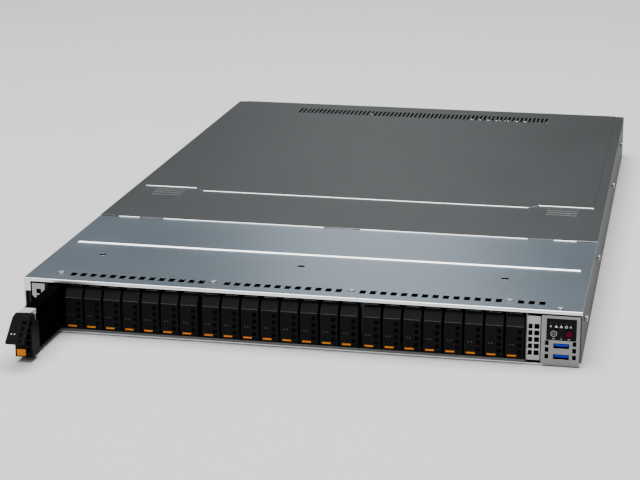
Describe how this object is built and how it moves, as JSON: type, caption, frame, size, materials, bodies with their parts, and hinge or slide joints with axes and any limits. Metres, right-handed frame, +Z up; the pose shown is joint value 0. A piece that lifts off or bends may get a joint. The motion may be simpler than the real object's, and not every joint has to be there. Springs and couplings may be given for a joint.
{
  "type": "1u rack server",
  "caption": "Flat rack server with a row of short front drive carriers with levers, control panel, sliding top cover, fans and hot-swap power supplies.",
  "frame": {"origin": "middle of the front edge of the tray's underside", "axes": "+X to the server's right seen from the front, +Y from the front to the rear, +Z up"},
  "size_m": [0.4418, 0.8151, 0.044],
  "materials": {
    "chassis_steel": "zinc-plated sheet, satin",
    "front_cover_steel": "plated sheet, fine grain, satin",
    "rear_cover_steel": "plated sheet, darker, satin",
    "bright_steel": "bright nickel plating",
    "clip_steel": "bright folded strip",
    "black_plastic": "fine matt grain",
    "carrier_plastic": "fine matt grain",
    "module_black": "black anodised shell",
    "release_orange": "smooth orange",
    "label_black": "smooth printed film",
    "power_red": "tinted translucent red",
    "locate_ring": "pale ring on dark cap",
    "connector_metal": "tinned stamped sheet",
    "circuit_board": "green solder mask",
    "cooler_aluminium": "milled fins",
    "supply_steel": "plated sheet",
    "latch_plastic": "dark red moulding"
  },
  "bodies": {
    "chassis": {"chassis_tray": "chassis_steel", "drive_cage": "chassis_steel", "drive_backplane": "circuit_board", "left_vent_plate": "chassis_steel", "right_vent_plate": "chassis_steel", "corner_insert": "black_plastic", "control_panel": "chassis_steel", "panel_window": "label_black", "usb_ports": "connector_metal", "fan_frames": "black_plastic", "main_board": "circuit_board", "memory_modules": "circuit_board", "processor_coolers": "cooler_aluminium", "rear_panel": "chassis_steel", "slot_covers": "chassis_steel", "rear_sockets": "connector_metal", "rail_studs": "bright_steel", "front_cover": "front_cover_steel", "cover_screws": "bright_steel"},
    "top_cover": {"top_cover": "rear_cover_steel"},
    "drive_01": {"drive_01_module": "module_black", "drive_01_bezel": "carrier_plastic", "drive_01_clip": "clip_steel"},
    "drive_01_lever": {"drive_01_lever": "carrier_plastic"},
    "drive_01_release": {"drive_01_release": "release_orange"},
    "power_button": {"power_button": "power_red"},
    "locate_button": {"locate_button": "locate_ring"},
    "drive_02": {"drive_02": "carrier_plastic"},
    "drive_03": {"drive_03": "carrier_plastic"},
    "drive_04": {"drive_04": "carrier_plastic"},
    "drive_05": {"drive_05": "carrier_plastic"},
    "drive_06": {"drive_06": "carrier_plastic"},
    "drive_07": {"drive_07": "carrier_plastic"},
    "drive_08": {"drive_08": "carrier_plastic"},
    "drive_09": {"drive_09": "carrier_plastic"},
    "drive_10": {"drive_10": "carrier_plastic"},
    "drive_11": {"drive_11": "carrier_plastic"},
    "drive_12": {"drive_12": "carrier_plastic"},
    "drive_13": {"drive_13": "carrier_plastic"},
    "drive_14": {"drive_14": "carrier_plastic"},
    "drive_15": {"drive_15": "carrier_plastic"},
    "drive_16": {"drive_16": "carrier_plastic"},
    "drive_17": {"drive_17": "carrier_plastic"},
    "drive_18": {"drive_18": "carrier_plastic"},
    "drive_19": {"drive_19": "carrier_plastic"},
    "drive_20": {"drive_20": "carrier_plastic"},
    "drive_21": {"drive_21": "carrier_plastic"},
    "drive_22": {"drive_22": "carrier_plastic"},
    "drive_23": {"drive_23": "carrier_plastic"},
    "drive_24": {"drive_24": "carrier_plastic"},
    "fan_rotor_1": {"fan_rotor_1": "black_plastic"},
    "fan_rotor_2": {"fan_rotor_2": "black_plastic"},
    "fan_rotor_3": {"fan_rotor_3": "black_plastic"},
    "fan_rotor_4": {"fan_rotor_4": "black_plastic"},
    "fan_rotor_5": {"fan_rotor_5": "black_plastic"},
    "fan_rotor_6": {"fan_rotor_6": "black_plastic"},
    "power_supply_1": {"power_supply_1": "supply_steel"},
    "supply_latch_1": {"supply_latch_1": "latch_plastic"},
    "power_supply_2": {"power_supply_2": "supply_steel"},
    "supply_latch_2": {"supply_latch_2": "latch_plastic"}
  },
  "joints": [
    {"name": "drive_01_slide", "type": "slide", "parent": "chassis", "child": "drive_01", "axis": [0, -1, 0], "range_m": [-0.072, 0.07]},
    {"name": "drive_01_lever_pivot", "type": "hinge", "parent": "drive_01", "child": "drive_01_lever", "pos_m": [-0.1925, -0.068, 0.0333], "axis": [1, 0, 0], "range_deg": [0, 50], "stiffness_Nm_per_rad": 0.01, "springref_deg": -22.92},
    {"name": "drive_01_release_press", "type": "slide", "parent": "drive_01", "child": "drive_01_release", "axis": [0, 1, 0], "range_m": [0, 0.0015], "stiffness_N_per_m": 300},
    {"name": "top_cover_slide", "type": "slide", "parent": "chassis", "child": "top_cover", "axis": [0, 1, 0], "range_m": [0, 0.525]},
    {"name": "power_button_press", "type": "slide", "parent": "chassis", "child": "power_button", "axis": [0, 1, 0], "range_m": [0, 0.0004], "stiffness_N_per_m": 800},
    {"name": "locate_button_press", "type": "slide", "parent": "chassis", "child": "locate_button", "axis": [0, 1, 0], "range_m": [0, 0.0004], "stiffness_N_per_m": 800},
    {"name": "drive_02_slide", "type": "slide", "parent": "chassis", "child": "drive_02", "axis": [0, -1, 0], "range_m": [0, 0.142]},
    {"name": "drive_03_slide", "type": "slide", "parent": "chassis", "child": "drive_03", "axis": [0, -1, 0], "range_m": [0, 0.142]},
    {"name": "drive_04_slide", "type": "slide", "parent": "chassis", "child": "drive_04", "axis": [0, -1, 0], "range_m": [0, 0.142]},
    {"name": "drive_05_slide", "type": "slide", "parent": "chassis", "child": "drive_05", "axis": [0, -1, 0], "range_m": [0, 0.142]},
    {"name": "drive_06_slide", "type": "slide", "parent": "chassis", "child": "drive_06", "axis": [0, -1, 0], "range_m": [0, 0.142]},
    {"name": "drive_07_slide", "type": "slide", "parent": "chassis", "child": "drive_07", "axis": [0, -1, 0], "range_m": [0, 0.142]},
    {"name": "drive_08_slide", "type": "slide", "parent": "chassis", "child": "drive_08", "axis": [0, -1, 0], "range_m": [0, 0.142]},
    {"name": "drive_09_slide", "type": "slide", "parent": "chassis", "child": "drive_09", "axis": [0, -1, 0], "range_m": [0, 0.142]},
    {"name": "drive_10_slide", "type": "slide", "parent": "chassis", "child": "drive_10", "axis": [0, -1, 0], "range_m": [0, 0.142]},
    {"name": "drive_11_slide", "type": "slide", "parent": "chassis", "child": "drive_11", "axis": [0, -1, 0], "range_m": [0, 0.142]},
    {"name": "drive_12_slide", "type": "slide", "parent": "chassis", "child": "drive_12", "axis": [0, -1, 0], "range_m": [0, 0.142]},
    {"name": "drive_13_slide", "type": "slide", "parent": "chassis", "child": "drive_13", "axis": [0, -1, 0], "range_m": [0, 0.142]},
    {"name": "drive_14_slide", "type": "slide", "parent": "chassis", "child": "drive_14", "axis": [0, -1, 0], "range_m": [0, 0.142]},
    {"name": "drive_15_slide", "type": "slide", "parent": "chassis", "child": "drive_15", "axis": [0, -1, 0], "range_m": [0, 0.142]},
    {"name": "drive_16_slide", "type": "slide", "parent": "chassis", "child": "drive_16", "axis": [0, -1, 0], "range_m": [0, 0.142]},
    {"name": "drive_17_slide", "type": "slide", "parent": "chassis", "child": "drive_17", "axis": [0, -1, 0], "range_m": [0, 0.142]},
    {"name": "drive_18_slide", "type": "slide", "parent": "chassis", "child": "drive_18", "axis": [0, -1, 0], "range_m": [0, 0.142]},
    {"name": "drive_19_slide", "type": "slide", "parent": "chassis", "child": "drive_19", "axis": [0, -1, 0], "range_m": [0, 0.142]},
    {"name": "drive_20_slide", "type": "slide", "parent": "chassis", "child": "drive_20", "axis": [0, -1, 0], "range_m": [0, 0.142]},
    {"name": "drive_21_slide", "type": "slide", "parent": "chassis", "child": "drive_21", "axis": [0, -1, 0], "range_m": [0, 0.142]},
    {"name": "drive_22_slide", "type": "slide", "parent": "chassis", "child": "drive_22", "axis": [0, -1, 0], "range_m": [0, 0.142]},
    {"name": "drive_23_slide", "type": "slide", "parent": "chassis", "child": "drive_23", "axis": [0, -1, 0], "range_m": [0, 0.142]},
    {"name": "drive_24_slide", "type": "slide", "parent": "chassis", "child": "drive_24", "axis": [0, -1, 0], "range_m": [0, 0.142]},
    {"name": "fan_rotor_1_spin", "type": "hinge", "parent": "chassis", "child": "fan_rotor_1", "pos_m": [-0.17, 0.22, 0.0212], "axis": [0, 1, 0], "continuous": true},
    {"name": "fan_rotor_2_spin", "type": "hinge", "parent": "chassis", "child": "fan_rotor_2", "pos_m": [-0.102, 0.22, 0.0212], "axis": [0, 1, 0], "continuous": true},
    {"name": "fan_rotor_3_spin", "type": "hinge", "parent": "chassis", "child": "fan_rotor_3", "pos_m": [-0.034, 0.22, 0.0212], "axis": [0, 1, 0], "continuous": true},
    {"name": "fan_rotor_4_spin", "type": "hinge", "parent": "chassis", "child": "fan_rotor_4", "pos_m": [0.034, 0.22, 0.0212], "axis": [0, 1, 0], "continuous": true},
    {"name": "fan_rotor_5_spin", "type": "hinge", "parent": "chassis", "child": "fan_rotor_5", "pos_m": [0.102, 0.22, 0.0212], "axis": [0, 1, 0], "continuous": true},
    {"name": "fan_rotor_6_spin", "type": "hinge", "parent": "chassis", "child": "fan_rotor_6", "pos_m": [0.17, 0.22, 0.0212], "axis": [0, 1, 0], "continuous": true},
    {"name": "power_supply_1_slide", "type": "slide", "parent": "chassis", "child": "power_supply_1", "axis": [0, 1, 0], "range_m": [0, 0.2]},
    {"name": "supply_latch_1_press", "type": "slide", "parent": "power_supply_1", "child": "supply_latch_1", "axis": [-1, 0, 0], "range_m": [0, 0.002], "stiffness_N_per_m": 400},
    {"name": "power_supply_2_slide", "type": "slide", "parent": "chassis", "child": "power_supply_2", "axis": [0, 1, 0], "range_m": [0, 0.2]},
    {"name": "supply_latch_2_press", "type": "slide", "parent": "power_supply_2", "child": "supply_latch_2", "axis": [-1, 0, 0], "range_m": [0, 0.002], "stiffness_N_per_m": 400}
  ]
}
